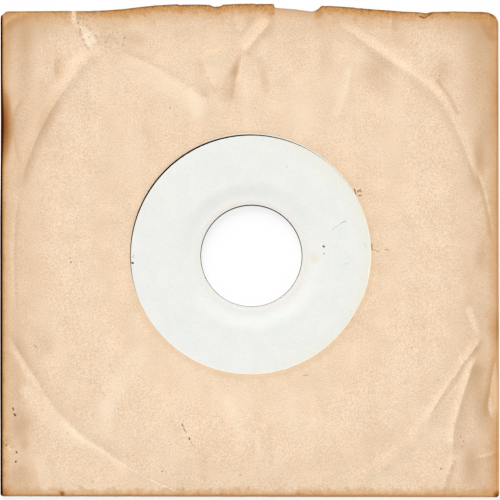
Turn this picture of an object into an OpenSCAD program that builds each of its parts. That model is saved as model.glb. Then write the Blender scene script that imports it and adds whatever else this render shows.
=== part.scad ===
// A 7 inch single with a large centre hole, lying in its die-cut paper sleeve.
// The origin is the middle of the centre hole, halfway through the disc.
// +Z points out of side A and +Y points out of the sleeve's open mouth.

/* [Disc] */
// Outer diameter of the moulded disc
disc_d = 174.6; // [145:0.1:210]
// Diameter of the large centre hole
spindle_d = 38.1; // [31:0.1:46]
// Width of the thin flange round the centre hole
flange_w = 2.6; // [1.5:0.1:4]
// Width of the dished slope between the flange and the land
dish_w = 6; // [2:0.1:8]
// Thickness of the flange, labels included
flange_t = 1.3; // [1.1:0.05:1.6]
// Thickness of the raised land, labels included
land_t = 1.9; // [1.6:0.05:2.4]
// Bare ring of land that shows outside the label
land_margin = 0.8; // [0.4:0.1:2]
// Width of the slope from the land down to the grooves
shoulder_w = 2.2; // [1:0.1:4]
// Thickness of the grooved part
groove_t = 1.05; // [0.8:0.05:1.3]
// Thickness of the round bead at the rim
rim_t = 1.45; // [1.35:0.05:1.6]
// Width of the bead at the rim
bead_w = 2.2; // [1.5:0.1:4]
// Width of the slope from the bead down to the grooves
bead_slope_w = 0.8; // [0.4:0.1:2]
// Bevel on both edges of the centre hole
hole_bevel = 0.1; // [0.05:0.05:0.15]

/* [Grooves] */
// Clear ring between the bead's slope and the first groove
lead_in_w = 0.9; // [0.5:0.1:2]
// Width of the smooth run-out between the music and the locked groove
run_out_w = 6.4; // [2:0.1:10]
// Clear ring between the shoulder and the locked groove
locked_room = 1.2; // [0.6:0.1:3]
// Width of a turned guide groove at the surface
guide_w = 0.25; // [0.15:0.05:0.4]
// Depth of a turned guide groove
guide_depth = 0.08; // [0.04:0.01:0.12]

/* [Labels] */
// Diameter of the paper label
label_d = 90.4; // [70:0.1:108]
// Thickness of the label's paper
label_t = 0.1; // [0.06:0.01:0.2]
// Bare vinyl between the centre hole and the label
label_gap = 0.2; // [0.2:0.05:1]
// How far the label was pressed off centre
label_drift = 0.05; // [0:0.05:0.3]

/* [Sleeve] */
// Thickness of the sleeve's paper
paper_t = 0.13; // [0.08:0.01:0.25]
// Diameter of the window cut through both panels
window_d = 89.5; // [60:0.1:120]
// Room between the disc and each side fold
side_room = 5.55; // [3.5:0.05:12]
// Room between the disc and the bottom fold, when the disc is centred in the window
bottom_room = 3.4; // [2.5:0.05:12]
// Paper past the disc at the mouth's corners, when the disc is centred in the window
mouth_room = 3.3; // [1:0.05:12]
// How far the middle of the front lip rises above its corners
lip_rise = 2.9; // [0.5:0.1:6]
// How far the back lip is cut below the corners of the front one
lip_drop = 1; // [0.5:0.1:4]
// Gap between the disc's land and each panel
face_gap = 0.3; // [0.1:0.05:0.6]

/* [Seams] */
// Width of the side flaps, measured from the folds
flap_w = 14; // [9:0.5:20]
// How far the slanted ends of the flaps are cut back
flap_slant = 9; // [3:0.5:15]
// How far the back panel stops short of the side folds
back_inset = 2.5; // [2:0.1:5]
// Thickness of the dried glue in a side seam
glue_t = 0.04; // [0.02:0.01:0.1]
// Bare strip along each edge of the glue
glue_margin = 2; // [0.5:0.1:3]

/* [Rest position] */
// How far the disc lies to the right of the window's centre
lie_x = 0.5; // [-2:0.05:2]
// How far the disc lies below the window's centre
lie_y = 0.75; // [-1:0.05:1]

/* [Hidden] */

// Resolution of the round shapes, and the steps in the rim's quarter circle
$fn = 180;
rim_steps = 6;

// Radii of the disc, from the centre hole out to the rim
disc_r = disc_d / 2;
spindle_r = spindle_d / 2;
flange_r = spindle_r + flange_w;
dish_r = flange_r + dish_w;
label_r = label_d / 2;
label_hole_r = spindle_r + label_gap;
land_r = label_r + label_drift + land_margin;
shoulder_r = land_r + shoulder_w;
bead_r = disc_r - bead_w;
bead_slope_r = bead_r - bead_slope_w;

// Radii of the turned guide grooves: locked groove, end of the music, lead-in
locked_r = shoulder_r + locked_room;
guide_radii = [locked_r, locked_r + run_out_w, bead_slope_r - lead_in_w];

// Heights of the two panels and of the flaps that lie inside on the back panel
pocket_half = max(land_t / 2, rim_t / 2 + paper_t + glue_t) + face_gap;
panel_out = pocket_half + paper_t;
flap_low = -pocket_half + glue_t;

// Outline of the sleeve
window_x = -lie_x;
window_y = lie_y;
sleeve_half_w = disc_r + side_room;
sleeve_low = window_y - disc_r - bottom_room;
mouth_y = window_y + disc_r + mouth_room;
back_lip_y = mouth_y - lip_drop;

// Radii of the rounded folds, measured on the outside of the paper
bottom_fold_r = panel_out;
side_fold_r = (panel_out - flap_low) / 2;
side_fold_z = (panel_out + flap_low) / 2;
panel_low = sleeve_low + bottom_fold_r;

// Front lip from left to right: [share of the half width, share of the rise].
// A strip of the lip is torn off right of the middle, and a chip by the corner.
lip_shape = [[-1, -0.25], [-0.97, 0.05], [-0.57, 0.2], [-0.4, 0.8], [-0.08, 1],
             [0.1, 1], [0.105, 0.5], [0.265, 0], [0.295, 0.4], [0.3, 0.7],
             [0.44, 0.6], [0.66, 0], [0.7, -0.25], [0.74, 0.05], [0.96, 0.05],
             [1, -0.25]];

// The round edge of the rim, from its top to its outermost point
function rim_arc() = [
    for (i = [0 : rim_steps])
        [disc_r - rim_t / 2, 0] + rim_t / 2 * [sin(90 * i / rim_steps), cos(90 * i / rim_steps)]
];

// Half a section of the disc, as points on its upper surface from the hole outwards
function disc_surface() = concat([
    [spindle_r, flange_t / 2 - hole_bevel],
    [spindle_r + hole_bevel, flange_t / 2],
    [flange_r, flange_t / 2],
    [dish_r, land_t / 2],
    [land_r, land_t / 2],
    [shoulder_r, groove_t / 2],
    [bead_slope_r, groove_t / 2],
    [bead_r, rim_t / 2]
], rim_arc());

// The same points turned over, in reverse order
function turned_over(points) = [
    for (i = [len(points) - 1 : -1 : 0]) [points[i].x, -points[i].y]
];

module guide_groove_section(r) {
    for (side = [-1, 1])
        polygon([
            [r - guide_w / 2, side * groove_t / 2],
            [r, side * (groove_t / 2 - guide_depth)],
            [r + guide_w / 2, side * groove_t / 2],
            [r, side * groove_t]
        ]);
}

module disc_section() {
    difference() {
        polygon(concat(disc_surface(), turned_over(disc_surface())));
        for (r = guide_radii) guide_groove_section(r);
    }
}

// A label follows the flange, the dish and the land, and is set flush into them
module label_sheet() {
    inner = spindle_r + hole_bevel;
    outer = label_r + label_drift;
    top = [[inner, flange_t / 2], [flange_r, flange_t / 2],
           [dish_r, land_t / 2], [outer, land_t / 2]];
    under = [for (p = turned_over(top)) [p.x, -p.y - label_t]];
    rotate_extrude() polygon(concat(top, under));
}

module label() {
    intersection() {
        label_sheet();
        translate([0, label_drift, 0])
            difference() {
                cylinder(r = label_r, h = 2 * land_t, center = true);
                cylinder(r = label_hole_r, h = 3 * land_t, center = true);
            }
    }
}

module label_side_a() {
    color("whitesmoke") label();
}

module label_side_b() {
    color("whitesmoke") rotate([0, 180, 0]) label();
}

module record_disc() {
    color([0.04, 0.04, 0.045])
        difference() {
            rotate_extrude() disc_section();
            label();
            rotate([0, 180, 0]) label();
        }
}

// A flat sheet of the sleeve's paper, with the window cut through it
module windowed_sheet(outline) {
    linear_extrude(paper_t)
        difference() {
            polygon(outline);
            translate([window_x, window_y]) circle(d = window_d);
        }
}

module sleeve_front_panel() {
    half_w = sleeve_half_w - side_fold_r;
    lip = [for (p = lip_shape) [window_x + p.x * half_w, mouth_y + p.y * lip_rise]];
    outline = concat(lip, [[window_x + half_w, panel_low], [window_x - half_w, panel_low]]);
    color([0.95, 0.84, 0.70])
        translate([0, 0, pocket_half]) windowed_sheet(outline);
}

module sleeve_back_panel() {
    half_w = sleeve_half_w - back_inset;
    outline = [
        [window_x - half_w, panel_low],
        [window_x - half_w, back_lip_y],
        [window_x + half_w, back_lip_y],
        [window_x + half_w, panel_low]
    ];
    color([0.93, 0.81, 0.66])
        translate([0, 0, -panel_out]) windowed_sheet(outline);
}

// Half a ring of folded paper, open towards +X
module fold_section(outer_r) {
    difference() {
        circle(r = outer_r);
        circle(r = outer_r - paper_t);
        translate([0, -2 * outer_r]) square([2 * outer_r, 4 * outer_r]);
    }
}

// Corners of a flap in plan, pulled in by a margin, with its fold on the Y axis
function flap_outline(inner_x, outer_x, margin) = [
    [inner_x, panel_low + margin],
    [outer_x - margin, panel_low + flap_slant + margin],
    [outer_x - margin, back_lip_y - flap_slant - margin],
    [inner_x, back_lip_y - margin]
];

// A side fold with its flap, drawn on the left with the fold's outer edge on the Y axis
module side_flap() {
    fold_top = mouth_y + lip_shape[0].y * lip_rise;
    translate([side_fold_r, fold_top, side_fold_z])
        rotate([90, 0, 0]) linear_extrude(fold_top - sleeve_low) fold_section(side_fold_r);
    translate([0, 0, flap_low])
        linear_extrude(paper_t) polygon(flap_outline(side_fold_r, flap_w, 0));
}

module sleeve_left_flap() {
    color([0.90, 0.76, 0.58]) translate([window_x - sleeve_half_w, 0, 0]) side_flap();
}

module sleeve_right_flap() {
    color([0.90, 0.76, 0.58])
        translate([window_x + sleeve_half_w, 0, 0]) mirror([1, 0, 0]) side_flap();
}

module sleeve_bottom_fold() {
    half_w = sleeve_half_w - side_fold_r;
    color([0.90, 0.76, 0.58])
        translate([window_x + half_w, panel_low, 0])
            rotate([0, -90, 0]) rotate([0, 0, 90]) linear_extrude(2 * half_w)
                fold_section(bottom_fold_r);
}

// A dried line of glue between a flap and the back panel, drawn on the left
module glue_seam() {
    translate([0, 0, -pocket_half])
        linear_extrude(glue_t)
            polygon(flap_outline(back_inset + glue_margin, flap_w, glue_margin));
}

module left_glue_seam() {
    color([0.80, 0.66, 0.45]) translate([window_x - sleeve_half_w, 0, 0]) glue_seam();
}

module right_glue_seam() {
    color([0.80, 0.66, 0.45])
        translate([window_x + sleeve_half_w, 0, 0]) mirror([1, 0, 0]) glue_seam();
}

record_disc();
label_side_a();
label_side_b();
sleeve_front_panel();
sleeve_back_panel();
sleeve_left_flap();
sleeve_right_flap();
sleeve_bottom_fold();
left_glue_seam();
right_glue_seam();
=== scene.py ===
import math

import bmesh
import bpy
import numpy as np
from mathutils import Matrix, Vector, noise


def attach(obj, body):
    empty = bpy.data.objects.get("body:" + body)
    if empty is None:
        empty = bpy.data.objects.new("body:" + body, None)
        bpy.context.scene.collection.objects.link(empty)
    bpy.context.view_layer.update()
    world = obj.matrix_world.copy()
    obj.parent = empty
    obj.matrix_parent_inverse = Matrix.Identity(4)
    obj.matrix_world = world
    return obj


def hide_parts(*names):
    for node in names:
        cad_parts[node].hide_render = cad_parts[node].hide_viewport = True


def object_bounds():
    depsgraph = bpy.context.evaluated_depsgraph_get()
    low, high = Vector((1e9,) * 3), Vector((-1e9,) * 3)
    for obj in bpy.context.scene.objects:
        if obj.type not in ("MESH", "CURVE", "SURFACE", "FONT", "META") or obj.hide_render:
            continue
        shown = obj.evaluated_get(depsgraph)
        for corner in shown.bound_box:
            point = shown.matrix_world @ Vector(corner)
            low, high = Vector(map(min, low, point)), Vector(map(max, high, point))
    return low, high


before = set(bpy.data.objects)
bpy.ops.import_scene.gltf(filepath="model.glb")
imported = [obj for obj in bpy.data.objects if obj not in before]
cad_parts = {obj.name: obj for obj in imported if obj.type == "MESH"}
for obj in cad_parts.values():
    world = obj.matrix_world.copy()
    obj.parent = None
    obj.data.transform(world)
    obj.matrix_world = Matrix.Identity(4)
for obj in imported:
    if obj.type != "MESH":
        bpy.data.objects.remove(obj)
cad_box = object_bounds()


# The disc
# Pressed in one piece from black vinyl between two stampers. A thin flange runs round the large hole,
# a raised land carries the labels, and a round bead guards the rim. The grooves are true spirals: lead-in,
# music and run-out, which ends in the locked groove. The music's spiral is coarser than the real cut.

MM = 0.001
DISC_COLUMNS = 320
HOLE_WALL_R, LAND_R, SHOULDER_R = 18.75, 46.05, 48.25
BEAD_SLOPE_R, BEAD_R, RIM_R = 84.3, 85.1, 87.3
FLANGE_Z, LAND_Z, GROOVE_Z, RIM_Z = 0.65, 0.95, 0.525, 0.725
LOCKED_R, RUN_OUT_R, RUN_OUT_PITCH, RUN_OUT_TURNS = 49.45, 50.3, 2.6, 2
MUSIC_R, MUSIC_PITCH, MUSIC_TURNS, MUSIC_END_R = 56.2, 0.45, 57, 82.5
LEAD_IN_R, LEAD_IN_PITCH = 82.6, 0.7
LABEL_R, LABEL_HOLE_R, HOLE_DRIFT, LABEL_T = 44.9, 18.99, 0.15, 0.1
DISH_START, DISH_END = 21.4, 28


def smooth_step(value, low, high):
    share = np.clip((value - low) / (high - low), 0, 1)
    return share * share * (3 - 2 * share)


def smooth_fall(value, low, high):
    return 1 - smooth_step(value, low, high)


def place(name, data):
    """Puts an object with this data into the scene."""
    placed = bpy.data.objects.new(name, data)
    bpy.context.scene.collection.objects.link(placed)
    return placed


def make_piece(name, points, faces, materials, face_materials=None, sharp_above=38, weld=False):
    """A closed piece from points in millimetres, shaded smooth except where it turns sharply. Weld joins the
    open edges that lie on each other."""
    mesh = bpy.data.meshes.new(name)
    mesh.from_pydata((np.asarray(points, float) * MM).tolist(), [], faces)
    for material in materials:
        mesh.materials.append(material)
    if face_materials is not None:
        mesh.polygons.foreach_set("material_index", face_materials)
    shell = bmesh.new()
    shell.from_mesh(mesh)
    if weld:
        bmesh.ops.remove_doubles(shell, verts=[v for v in shell.verts if v.is_boundary], dist=0.001 * MM)
    bmesh.ops.recalc_face_normals(shell, faces=shell.faces)
    shell.to_mesh(mesh)
    shell.free()
    mesh.polygons.foreach_set("use_smooth", [True] * len(mesh.polygons))
    mesh.set_sharp_from_angle(angle=math.radians(sharp_above))
    return place(name, mesh)


class Value:
    """What a shader node puts out. Arithmetic with it places the nodes that work the result out."""

    def __init__(self, socket):
        self.socket, self.tree = socket, socket.id_data

    def __add__(self, other):
        return maths("ADD", self, other)

    def __sub__(self, other):
        return maths("SUBTRACT", self, other)

    def __rsub__(self, other):
        return maths("SUBTRACT", other, self)

    def __mul__(self, other):
        return maths("MULTIPLY", self, other)

    def __truediv__(self, other):
        return maths("DIVIDE", self, other)

    def __rtruediv__(self, other):
        return maths("DIVIDE", other, self)


def feed(node, inputs):
    """Sets a node's inputs, each by its name or number, to a plain number, vector or colour, or to a Value."""
    for key, value in inputs.items():
        if isinstance(value, Value):
            value.tree.links.new(value.socket, node.inputs[key])
        else:
            node.inputs[key].default_value = value


def put(tree, kind, inputs=None, **settings):
    """Places a shader node."""
    node = tree.nodes.new("ShaderNode" + kind)
    for setting, value in settings.items():
        setattr(node, setting, value)
    feed(node, inputs or {})
    return node


def work_out(kind, inputs, output=0, **settings):
    """Places a shader node beside the Values that feed it, and gives one of its outputs."""
    tree = next(value.tree for value in inputs.values() if isinstance(value, Value))
    return Value(put(tree, kind, inputs, **settings).outputs[output])


def maths(operation, *values, **settings):
    return work_out("Math", dict(enumerate(values)), operation=operation, **settings)


def vector_maths(operation, first, second, output=0):
    return work_out("VectorMath", {0: first, 1: second}, output, operation=operation)


def scaled(vector, scale):
    return work_out("VectorMath", {0: vector, "Scale": scale}, operation="SCALE")


def stretched(position, x, y, z=1):
    return vector_maths("MULTIPLY", position, (x, y, z))


def length(vector):
    return work_out("VectorMath", {0: vector}, "Value", operation="LENGTH")


def ease(value, low, high, start=0, end=1, kind="SMOOTHSTEP"):
    """A change from start to end while the value goes from low to high, smooth unless its kind is LINEAR."""
    return work_out("MapRange", {"Value": value, "From Min": low, "From Max": high, "To Min": start, "To Max": end},
                    interpolation_type=kind)


def colour(shade):
    """A colour as it looks on a screen, from 0 to 255, turned into the renderer's own scale, where a Value or a
    colour of four numbers already is."""
    if isinstance(shade, Value) or len(shade) == 4:
        return shade
    return tuple((c / 255 / 12.92) if c <= 10 else ((c / 255 + 0.055) / 1.055) ** 2.4 for c in shade) + (1,)


def tint(share, under, over, blend_type="MIX"):
    """Lays one colour over another."""
    return work_out("Mix", {0: share, 6: colour(under), 7: colour(over)}, 2, data_type="RGBA", blend_type=blend_type)


def cloud(position, size, detail=2, roughness=0.5):
    """Soft noise whose patches are about this many millimetres wide."""
    return work_out("TexNoise", {"Vector": position, "Scale": 1 / size, "Detail": detail, "Roughness": roughness})


def new_material(name, roughness, specular):
    """An empty material, and its shader and position in millimetres."""
    material = bpy.data.materials.new(name)
    material.use_nodes = True
    tree = material.node_tree
    tree.nodes.clear()
    shader = put(tree, "BsdfPrincipled", {"Roughness": roughness, "Specular IOR Level": specular})
    put(tree, "OutputMaterial", {"Surface": Value(shader.outputs[0])})
    return material, shader, scaled(Value(put(tree, "TexCoord").outputs["Object"]), 1 / MM)


def finish_material(shader, base, height, bump_mm, more=None):
    """Feeds the shader with its colour, its fine relief and any further inputs."""
    bump = work_out("Bump", {"Height": height, "Strength": 1, "Distance": bump_mm * MM})
    feed(shader, {"Base Color": base, "Normal": bump, **(more or {})})


def closed_rings(rings):
    return 0, [(np.broadcast_to(radius, DISC_COLUMNS), height) for radius, height in rings]


def spiral_track(start, pitch, turns, section):
    """A track that widens by one pitch a turn. The section's points are shares of the pitch, with a height."""
    widening = pitch * np.arange(DISC_COLUMNS) / DISC_COLUMNS
    rings = [(start + pitch * (turn + share) + widening, height) for turn in range(turns) for share, height in section]
    return len(section), rings


def band(a, b, n, columns):
    """The faces between rings a and b, of n points each, over so many columns."""
    return [(a * n + j, a * n + (j + 1) % n, b * n + (j + 1) % n, b * n + j) for j in range(columns)]


def disc_side(blocks, z_sign):
    """One side of the disc, from the middle of the hole's wall to the middle of the rim, as points and faces.
    Where a block wraps, each ring runs on into the ring that lies so many places further out."""
    n = DISC_COLUMNS
    points, faces, last_wrap, last_ring = [], [], 0, None
    for wrap, rings in blocks:
        first = len(points)
        for radius, height in rings:
            points.append(np.column_stack([radius * np.cos(disc_angles) * z_sign, radius * np.sin(disc_angles),
                                           np.full(n, height * z_sign)]))
        end = len(points) - 1
        for k in range(first, end):
            faces += band(k, k + 1, n, n - 1)
            if k + 1 + wrap <= end:
                faces.append(((k + 1) * n - 1, (k + wrap) * n, (k + 1 + wrap) * n, (k + 2) * n - 1))
        if last_ring is not None:
            faces += band(last_ring, first, n, n - 1)
            joint = [last_ring * n] + [(first + i) * n for i in range(wrap + 1)]
            joint += [(first + 1) * n - 1] + [(last_ring - i + 1) * n - 1 for i in range(last_wrap + 1)]
            faces.append(tuple(joint))
        last_wrap, last_ring = wrap, end
    return np.vstack(points), faces


disc_angles = -2 * math.pi * np.arange(DISC_COLUMNS) / DISC_COLUMNS
# The label's hole is a little off centre, and so is the recess that it lies in
recess_hole = (HOLE_DRIFT * np.sin(disc_angles)
               + np.sqrt(LABEL_HOLE_R ** 2 - (HOLE_DRIFT * np.cos(disc_angles)) ** 2))
rim_round = [(RIM_R - RIM_Z + RIM_Z * math.sin(a), RIM_Z * math.cos(a)) for a in np.linspace(0, math.pi / 2, 8)[1:]]
side_blocks = [
    closed_rings([
        (HOLE_WALL_R, 0), (HOLE_WALL_R + 0.01, 0.3), (HOLE_WALL_R + 0.02, 0.58), (HOLE_WALL_R + 0.08, FLANGE_Z),
        (recess_hole, FLANGE_Z), (recess_hole, FLANGE_Z - LABEL_T), (DISH_START + 0.2, FLANGE_Z - LABEL_T),
        (DISH_END - 0.3, LAND_Z - LABEL_T), (LABEL_R, LAND_Z - LABEL_T), (LABEL_R, LAND_Z), (LAND_R - 0.15, LAND_Z),
        (LAND_R + 0.15, LAND_Z - 0.04), (LAND_R + 1.1, RIM_Z + 0.005), (SHOULDER_R - 0.2, GROOVE_Z + 0.03),
        (SHOULDER_R + 0.2, GROOVE_Z), (LOCKED_R - 0.2, GROOVE_Z), (LOCKED_R, GROOVE_Z - 0.08),
        (LOCKED_R + 0.2, GROOVE_Z), (RUN_OUT_R - 0.2, GROOVE_Z)]),
    spiral_track(RUN_OUT_R, RUN_OUT_PITCH, RUN_OUT_TURNS,
                 [(0, GROOVE_Z), (0.06, GROOVE_Z - 0.07), (0.12, GROOVE_Z), (0.55, GROOVE_Z)]),
    closed_rings([(MUSIC_R - 0.2, GROOVE_Z)]),
    spiral_track(MUSIC_R, MUSIC_PITCH, MUSIC_TURNS, [(0, GROOVE_Z), (0.5, GROOVE_Z - 0.025)]),
    closed_rings([(MUSIC_END_R, GROOVE_Z)]),
    spiral_track(LEAD_IN_R, LEAD_IN_PITCH, 1, [(0, GROOVE_Z), (0.25, GROOVE_Z - 0.06), (0.5, GROOVE_Z)]),
    closed_rings([(BEAD_SLOPE_R - 0.4, GROOVE_Z), (BEAD_SLOPE_R, GROOVE_Z + 0.02), (BEAD_R - 0.2, RIM_Z - 0.04),
                  (BEAD_R + 0.3, RIM_Z)] + rim_round),
]
side_a_points, side_faces = disc_side(side_blocks, 1)
side_b_points, _ = disc_side(side_blocks, -1)
disc_points = np.vstack([side_a_points, side_b_points])
disc_faces = side_faces + [tuple(i + len(side_a_points) for i in face) for face in side_faces]

vinyl, shader, position = new_material("black_vinyl", 0.3, 0.12)
radius = length(stretched(position, 1, 1, 0))
loudness = work_out("TexNoise", {"W": radius * 0.9, "Scale": 1, "Detail": 3}, noise_dimensions="1D")
in_music = (ease(radius, MUSIC_R - 0.2, MUSIC_R + 0.2)
            * ease(radius, MUSIC_END_R - 0.2, MUSIC_END_R + 0.2, 1, 0))
dust = ease(cloud(position, 0.9, 4, 0.7), 0.66, 0.72)
hairlines = ease(cloud(stretched(position, 0.15, 2.2), 1.5, 3), 0.64, 0.7)
hairlines_across = ease(cloud(stretched(position, 2, 0.12), 1.7, 3), 0.65, 0.71)
scratches = maths("MAXIMUM", hairlines, hairlines_across)
gloss = ease(loudness, 0.3, 0.7, 0.24, 0.42)
rough = in_music * gloss + scratches * 0.12 + (1 - in_music) * 0.2
# Faintly lighter black where the music is louder: painted sheen
base = tint(ease(loudness, 0.25, 0.75), (13, 12, 13), (23, 22, 23))
base = tint(dust * 0.5, base, (120, 112, 104))
round_axis = Value(put(position.tree, "Tangent", direction_type="RADIAL", axis="Z").outputs[0])
finish_material(shader, base, scratches * -1, 0.004,
                {"Roughness": rough, "Anisotropic": 0.55, "Tangent": round_axis})

disc = make_piece("pressed_disc", disc_points, disc_faces, [vinyl], sharp_above=50, weld=True)
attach(disc, "record")
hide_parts("record_disc")


# The labels
# One round of off-white paper on each side, with nothing printed on it. It is pressed into the hot vinyl
# with the disc, so it follows the flange, the dished slope and the land, and lies flush.

LABEL_COLUMNS = 240
DRIFT_END, EDGE_DROP = 22, 0.02
label_radii = [
    LABEL_HOLE_R, LABEL_HOLE_R + 0.03, LABEL_HOLE_R + 0.15, 19.7, 20.2, 20.7, 21.1, 21.7, 22.3, 22.9, 23.5, 24.1,
    24.65, 25.2, 25.8, 26.4, 27, 27.6, 28.2, 29.2, 31.5, 35, 39, 42.5, 44.6, LABEL_R - 0.1, LABEL_R]


def label_height(radius):
    """Top of the label at a distance from the spindle's axis."""
    soft_lip = 0.05 * smooth_fall(radius, 19.3, 20.4)
    return FLANGE_Z + (LAND_Z - FLANGE_Z) * smooth_step(radius, DISH_START, DISH_END) - soft_lip


def sheet_faces(rows, n, columns):
    """The faces of a sheet of paper whose outer face has so many rows of n points, with its inner face's next."""
    around = [*range(rows), *range(2 * rows - 1, rows - 1, -1), 0]
    return [(a * n + j, b * n + j, b * n + (j + 1) % n, a * n + (j + 1) % n)
            for a, b in zip(around, around[1:]) for j in range(columns)]


def label_shape(z_sign):
    angles = 2 * math.pi * np.arange(LABEL_COLUMNS) / LABEL_COLUMNS
    layers = []
    for under in (0, LABEL_T):
        for ring in label_radii:
            x = ring * np.cos(angles)
            y = ring * np.sin(angles) + np.interp(ring, (LABEL_HOLE_R, DRIFT_END), (HOLE_DRIFT, 0))
            at_edge = EDGE_DROP if ring in (LABEL_HOLE_R, LABEL_R) else 0
            z = label_height(np.hypot(x, y)) - (under or at_edge)
            layers.append(np.column_stack([x * z_sign, y, z * z_sign]))
    return np.vstack(layers), sheet_faces(len(label_radii), LABEL_COLUMNS, LABEL_COLUMNS)


def new_group(name, inputs, outputs):
    """A node group with named inputs, each with its first value, and named outputs. Gives the group, its inputs
    as Values, and the node that its outputs are fed to."""
    group = bpy.data.node_groups.new(name, "ShaderNodeTree")
    for socket_name, first_value in inputs.items():
        kind = "NodeSocketVector" if isinstance(first_value, tuple) else "NodeSocketFloat"
        group.interface.new_socket(name=socket_name, in_out="INPUT", socket_type=kind).default_value = first_value
    for socket_name in outputs:
        group.interface.new_socket(name=socket_name, in_out="OUTPUT", socket_type="NodeSocketFloat")
    enter, leave = group.nodes.new("NodeGroupInput"), group.nodes.new("NodeGroupOutput")
    return group, {name: Value(enter.outputs[name]) for name in inputs}, leave


# Paper's own look: slow mottling, single fibres and the felt side's tooth
paper_grain, given, made = new_group("Paper grain", {
    "Position": (0, 0, 0), "Mottle size": 9, "Fibre size": 0.5}, ["Mottle", "Fibre", "Tooth"])
slow = cloud(given["Position"], given["Mottle size"], 4, 0.6)
fine = cloud(stretched(given["Position"], 1, 0.7), given["Fibre size"], 2, 0.65)
tooth = cloud(given["Position"], given["Fibre size"] / 1.7, 1)
feed(made, {"Mottle": slow, "Fibre": fine, "Tooth": tooth + fine * 0.7})

# A short scratch, fleck or crack between two points, laid over the marks that came before it
scuff_line, given, made = new_group("Scuff line", {
    "Position": (0, 0, 0), "Start": (0, 0, 0), "End": (0, 0, 0), "Width": 0.4, "Strength": 1, "Marks before": 0},
    ["Marks"])
along = vector_maths("SUBTRACT", given["End"], given["Start"])
from_start = vector_maths("SUBTRACT", given["Position"], given["Start"])
reach = vector_maths("DOT_PRODUCT", from_start, along, "Value")
whole = vector_maths("DOT_PRODUCT", along, along, "Value")
foot = scaled(along, maths("DIVIDE", reach, whole + 0.0001, use_clamp=True))
miss = length(vector_maths("SUBTRACT", from_start, foot))
mark = ease(miss, given["Width"] * 0.5, given["Width"] * 0.15, 0, given["Strength"])
feed(made, {"Marks": maths("MAXIMUM", mark, given["Marks before"])})


def lay_marks(position, marks):
    """Lays a list of marks, each (x, y, end x, end y, width, strength) in millimetres, and gives their joint mask."""
    flat = stretched(position, 1, 1, 0)
    laid = 0
    for x, y, end_x, end_y, width, strength in marks:
        laid = work_out("Group", {"Position": flat, "Start": (x, y, 0), "End": (end_x, end_y, 0), "Width": width,
                                  "Strength": strength, "Marks before": laid}, node_tree=scuff_line)
    return laid


def patch(position, x, y, reach_x, reach_y, strength=1):
    """A soft round patch with its middle at x, y."""
    away = stretched(vector_maths("SUBTRACT", position, (x, y, 0)), 1 / reach_x, 1 / reach_y, 0)
    return ease(length(away), 0, 1, strength, 0)


def axes(position):
    """The x, y and z of a position."""
    return map(Value, put(position.tree, "SeparateXYZ", {0: position}).outputs)


def grain(position, mottle_size, fibre_size):
    """The mottle, fibre and tooth of a paper."""
    return map(Value, put(position.tree, "Group", {"Position": position, "Mottle size": mottle_size,
                                                   "Fibre size": fibre_size}, node_tree=paper_grain).outputs)


label_marks = [
    (30.2, 9.9, 33.4, 12.3, 0.22, 0.4), (33.4, 12.3, 35.2, 13.1, 0.3, 0.75), (26.8, 3.7, 27.1, 3.5, 0.95, 1),
    (27, 1, 27.1, 0.8, 0.6, 0.7), (13.2, 33.4, 13.2, 33.2, 0.6, 0.4), (17, -11.9, 17, -11.9, 0.5, 0.35),
    (42, 4.7, 43.1, 3.1, 0.25, 0.35), (34.9, -2.9, 36, -2.9, 0.35, 0.3), (-44.4, -2.5, -44.1, -2.6, 1.1, 1),
    (-44.2, -0.6, -43.8, 0.4, 0.35, 0.6), (-17.2, -7.8, -17, -8.2, 0.6, 0.7)]


def label_paper(name, marks):
    material, shader, position = new_material(name, 0.62, 0.35)
    mottle, fibre, tooth = grain(position, 7, 0.4)
    base = tint(ease(mottle, 0.35, 0.65), (236, 238, 233), (241, 241, 236))
    base = tint(ease(cloud(position, 13, 3), 0.45, 0.7, 0, 0.3), base, (240, 236, 231))
    radius = length(stretched(position, 1, 1, 0))
    x, _, _ = axes(position)
    aged = ease(radius, 38, 45) * ease(x, -12, 32)
    base = tint(aged * ease(mottle, 0.3, 0.7, 0.25, 0.75), base, (236, 233, 212))
    hole_wear = ease(radius, 20, 22.6, 0.45, 0)
    base = tint(hole_wear * ease(mottle, 0.3, 0.6), base, (238, 228, 216))
    base = tint(patch(position, 23.7, -0.9, 3, 3.2, 0.55), base, (232, 224, 190))
    scuffs = ease(cloud(stretched(position, 0.8, 3), 0.8, 3, 0.7), 0.5, 0.75)
    base = tint(scuffs * patch(position, -26, -24, 17, 10, 0.5), base, (214, 214, 214))
    base = tint(ease(fibre, 0.5, 0.8, 0, 0.3), base, (206, 208, 204))
    base = tint(ease(fibre, 0.2, 0.5, 0.4, 0), base, (252, 253, 250))
    streaks = ease(cloud(stretched(position, 0.35, 3), 1.1, 3, 0.65), 0.55, 0.8, 0, 0.35)
    base = tint(streaks, base, (222, 224, 221))
    base = tint(lay_marks(position, marks), base, (52, 54, 60))
    finish_material(shader, base, tooth, 0.012)
    return material


for name, node, z_sign, marks in (("front_label", "label_side_a", 1, label_marks),
                                  ("back_label", "label_side_b", -1, label_marks[:4])):
    points, faces = label_shape(z_sign)
    label = make_piece(name, points, faces, [label_paper(name + "_paper", marks)])
    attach(label, "record")
    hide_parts(node)


# The front panel of the sleeve
# Half of one die-cut blank of unbleached kraft paper, with a round window for the label. Years round the disc
# have pressed the rim's outline into it, and its open lip is browned, chipped and torn.

PAPER_T = 0.13
WINDOW_X, WINDOW_Y, WINDOW_R = -0.46, 0.66, 44.71
LEFT_FOLD_X, RIGHT_FOLD_X, BOTTOM_FOLD_Y = -92.055, 91.055, -88.57
SLEEVE_LEFT, SLEEVE_RIGHT, SLEEVE_LOW, SLEEVE_TOP = -93.35, 92.35, -89.95, 94
SLIDE_DOWN = 2.1
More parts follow.
